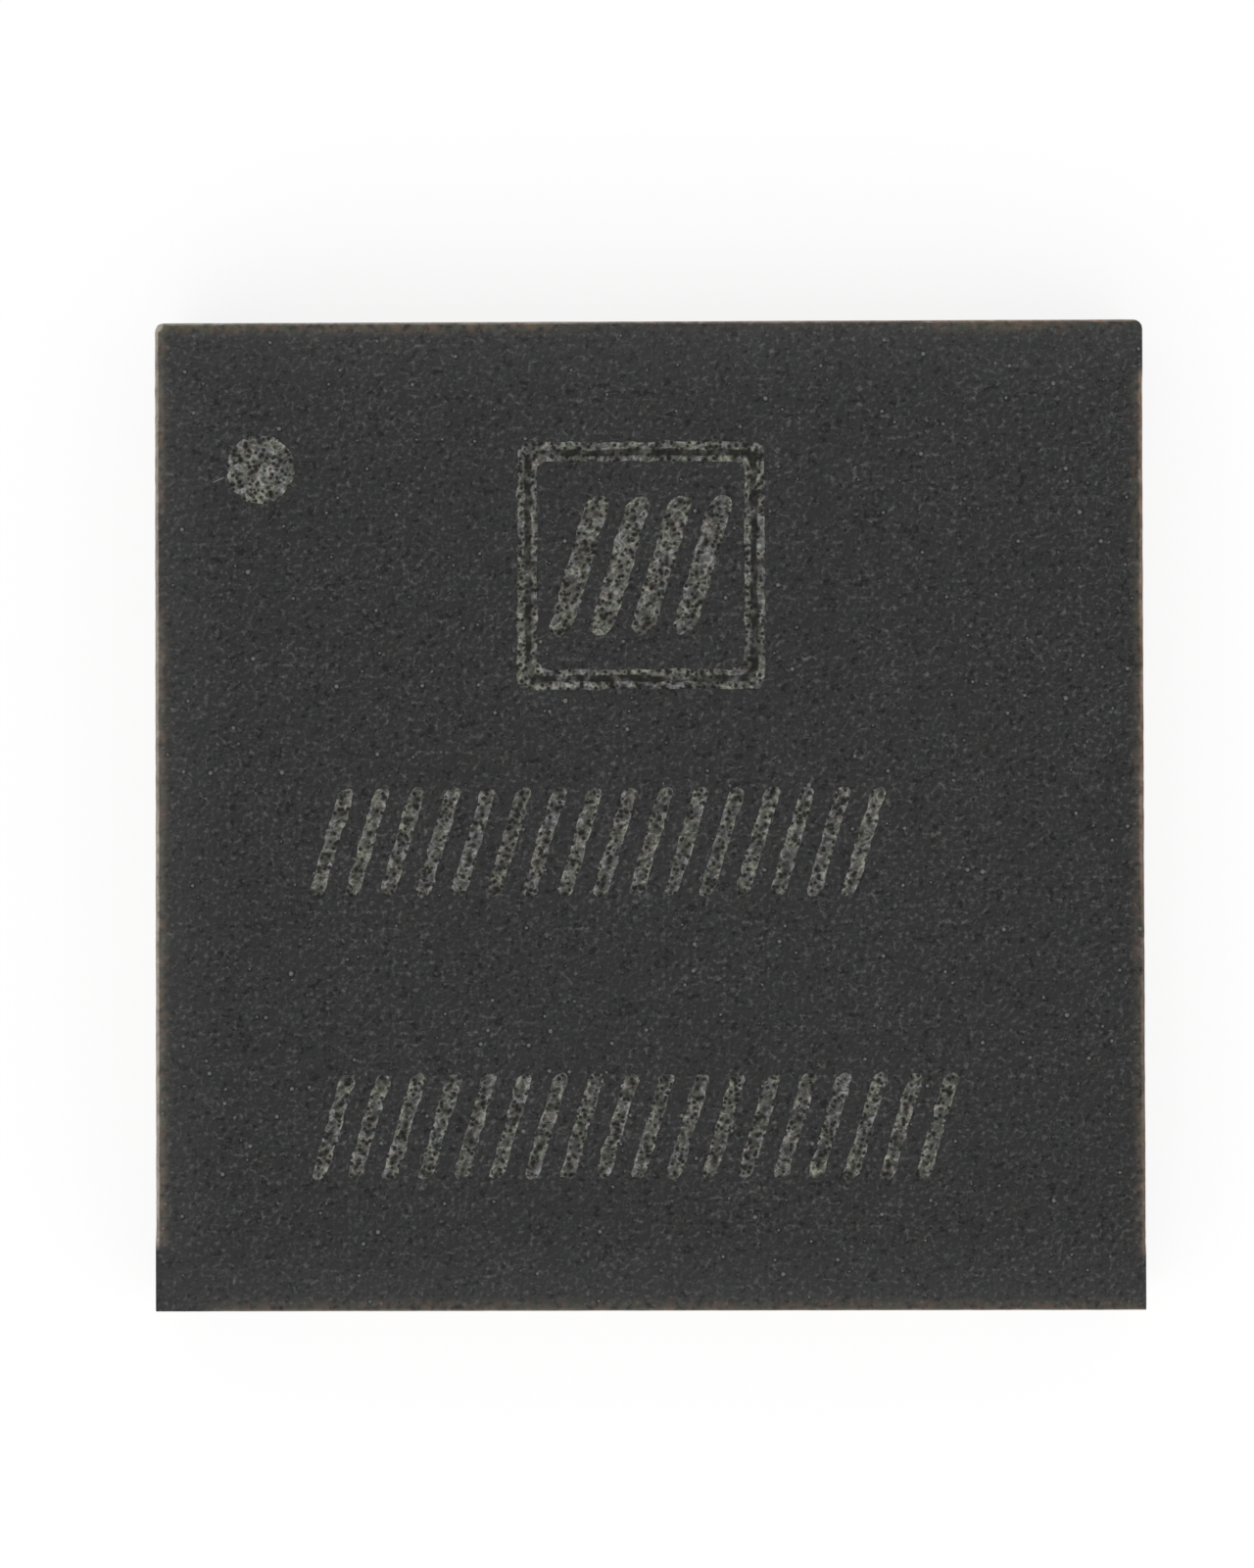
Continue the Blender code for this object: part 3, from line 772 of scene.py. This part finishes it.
class CHIP_OT_moulding(bpy.types.Operator):
    """Build the moulded block with its rubbed edge and burnt marks"""

    bl_idname = "chip.moulding"
    bl_label = "Moulded Block"

    def execute(self, context):
        wear, marks, shades, _ = settings(context)
        block = bpy.data.objects.new("moulding", moulding_mesh(wear, marks))
        context.scene.collection.objects.link(block)
        rubbed = moulded_finish(shades, wear, "rubbed_compound", gloss=0.0)
        for finish in (moulded_finish(shades, wear), burnt_finish(shades), sawn_finish(shades),
                       underside_finish(shades), rubbed):
            block.data.materials.append(finish)
        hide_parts("mould_body")
        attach(block, "root")
        return {"FINISHED"}


class CHIP_OT_metal(bpy.types.Operator):
    """Finish the leads, with their bond wires, and the die paddle"""

    bl_idname = "chip.metal"
    bl_label = "Leads and Paddle"

    def execute(self, context):
        metal = metal_finish(settings(context)[2])
        for name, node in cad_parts.items():
            if name.startswith("lead_") or name == "die_paddle":
                dress(node, metal)
        return {"FINISHED"}


class CHIP_OT_die(bpy.types.Operator):
    """Finish the silicon die and the glue under it"""

    bl_idname = "chip.die"
    bl_label = "Die and Glue"

    def execute(self, context):
        shades = settings(context)[2]
        dress(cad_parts["die_attach"], glue_finish(shades))
        dress(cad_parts["silicon_die"], silicon_finish(shades))
        return {"FINISHED"}


# Stage


def seen_rays(nodes):
    """1 for rays from the camera and for mirror and glass rays, and 0 for light."""
    kinds = ("Is Camera Ray", "Is Glossy Ray", "Is Transmission Ray")
    camera, glossy, through = (nodes.node("ShaderNodeLightPath", {}, {}, kind) for kind in kinds)
    return camera.at_least(glossy).at_least(through)


def lay_floor(scene, stage):
    """A pale floor. It is open under the chip, and clear from below, so that the underside shows."""
    sheet = bmesh.new()
    turn = Matrix.Rotation(math.radians(45), 4, "Z")
    for side in (stage.floor_side, 2 * (HALF - stage.floor_lap)):
        bmesh.ops.create_circle(sheet, segments=4, radius=side / math.sqrt(2), matrix=turn)
    bmesh.ops.bridge_loops(sheet, edges=sheet.edges[:])
    bmesh.ops.recalc_face_normals(sheet, faces=sheet.faces)
    if sheet.faces[:][0].normal.z < 0:
        bmesh.ops.reverse_faces(sheet, faces=sheet.faces)
    data = bpy.data.meshes.new("floor")
    sheet.to_mesh(data)
    sheet.free()
    floor = bpy.data.objects.new("floor", data)
    scene.collection.objects.link(floor)
    paint = bpy.data.materials.new("pale_floor")
    paint.use_nodes = True
    nodes = Nodes(paint.node_tree)
    paint.node_tree.nodes.remove(paint.node_tree.nodes["Principled BSDF"])
    grey = [stage.floor_paint] * 3 + [1]
    matte = nodes.node("ShaderNodeBsdfDiffuse", {}, {"Color": grey})
    glow = nodes.node("ShaderNodeEmission", {}, {"Color": (1, 1, 1, 1), "Strength": stage.floor_glow})
    clear = nodes.node("ShaderNodeBsdfTransparent", {}, {})
    glowing = seen_rays(nodes) * (1 - stage.floor_shade)
    upper = nodes.node("ShaderNodeMixShader", {}, {0: glowing, 1: matte, 2: glow})
    behind = nodes.node("ShaderNodeNewGeometry", {}, {}, "Backfacing")
    shown = nodes.node("ShaderNodeMixShader", {}, {0: behind, 1: upper, 2: clear})
    surface = paint.node_tree.nodes["Material Output"].inputs["Surface"]
    paint.node_tree.links.new(shown.socket, surface)
    data.materials.append(paint)


def light_sky(scene, stage):
    """Even surroundings: white where they are seen or mirrored, and softer as light."""
    scene.world = bpy.data.worlds.new("surroundings")
    scene.world.use_nodes = True
    nodes = Nodes(scene.world.node_tree)
    backdrop = scene.world.node_tree.nodes["Background"]
    backdrop.inputs["Color"].default_value = (1, 1, 1, 1)
    strength = seen_rays(nodes) * (1 - stage.sky) + stage.sky
    scene.world.node_tree.links.new(strength.socket, backdrop.inputs["Strength"])


def hang_lamp(scene, name, strength, tilt, spread):
    """A broad lamp that shines down, tilted forwards and then sideways."""
    lamp = bpy.data.lights.new(name, "SUN")
    lamp.energy = strength
    lamp.angle = spread
    hung = bpy.data.objects.new(name, lamp)
    hung.rotation_euler = (*tilt, 0)
    scene.collection.objects.link(hung)


def aim_camera(scene, stage):
    """The photograph's view."""
    camera = bpy.data.cameras.new("camera")
    camera.sensor_width = 36
    camera.lens = stage.lens
    camera.clip_start = MM
    camera.clip_end = 1.0
    held = bpy.data.objects.new("camera", camera)
    held.location = stage.camera_place
    held.rotation_euler = stage.camera_turn
    scene.collection.objects.link(held)
    scene.camera = held


class CHIP_OT_stage(bpy.types.Operator):
    """Set the pale floor, the soft light and the camera"""

    bl_idname = "chip.stage"
    bl_label = "Studio Stage"

    def execute(self, context):
        stage = settings(context)[3]
        lay_floor(context.scene, stage)
        light_sky(context.scene, stage)
        hang_lamp(context.scene, "key_lamp", stage.key, stage.key_tilt, stage.lamp_spread)
        hang_lamp(context.scene, "fill_lamp", stage.fill, stage.fill_tilt, stage.lamp_spread)
        aim_camera(context.scene, stage)
        context.scene.view_settings.view_transform = "Standard"
        return {"FINISHED"}


# Panel and registration


class CHIP_PT_panel(bpy.types.Panel):
    """The chip's settings and pieces"""

    bl_label = "Power Management Chip"
    bl_idname = "CHIP_PT_panel"
    bl_space_type = "VIEW_3D"
    bl_region_type = "UI"
    bl_category = "Chip"

    def draw(self, context):
        for operator in OPERATORS:
            self.layout.operator(operator.bl_idname)
        for name, group in GROUPS.items():
            box = self.layout.box()
            box.label(text=group.bl_rna.description)
            for setting in group.__annotations__:
                box.prop(getattr(context.scene, name), setting)


GROUPS = {"chip_wear": ChipWear, "chip_marks": ChipMarks, "chip_colours": ChipColours,
          "chip_stage": ChipStage}
OPERATORS = (CHIP_OT_moulding, CHIP_OT_metal, CHIP_OT_die, CHIP_OT_stage)


def register():
    for name, group in GROUPS.items():
        bpy.utils.register_class(group)
        setattr(bpy.types.Scene, name, PointerProperty(type=group))
    for shown in (*OPERATORS, CHIP_PT_panel):
        bpy.utils.register_class(shown)


def unregister():
    for shown in reversed((*OPERATORS, CHIP_PT_panel)):
        bpy.utils.unregister_class(shown)
    for name, group in reversed(GROUPS.items()):
        delattr(bpy.types.Scene, name)
        bpy.utils.unregister_class(group)


def main():
    register()
    bpy.ops.chip.moulding()
    bpy.ops.chip.metal()
    bpy.ops.chip.die()
    bpy.ops.chip.stage()


if __name__ == "__main__":
    main()
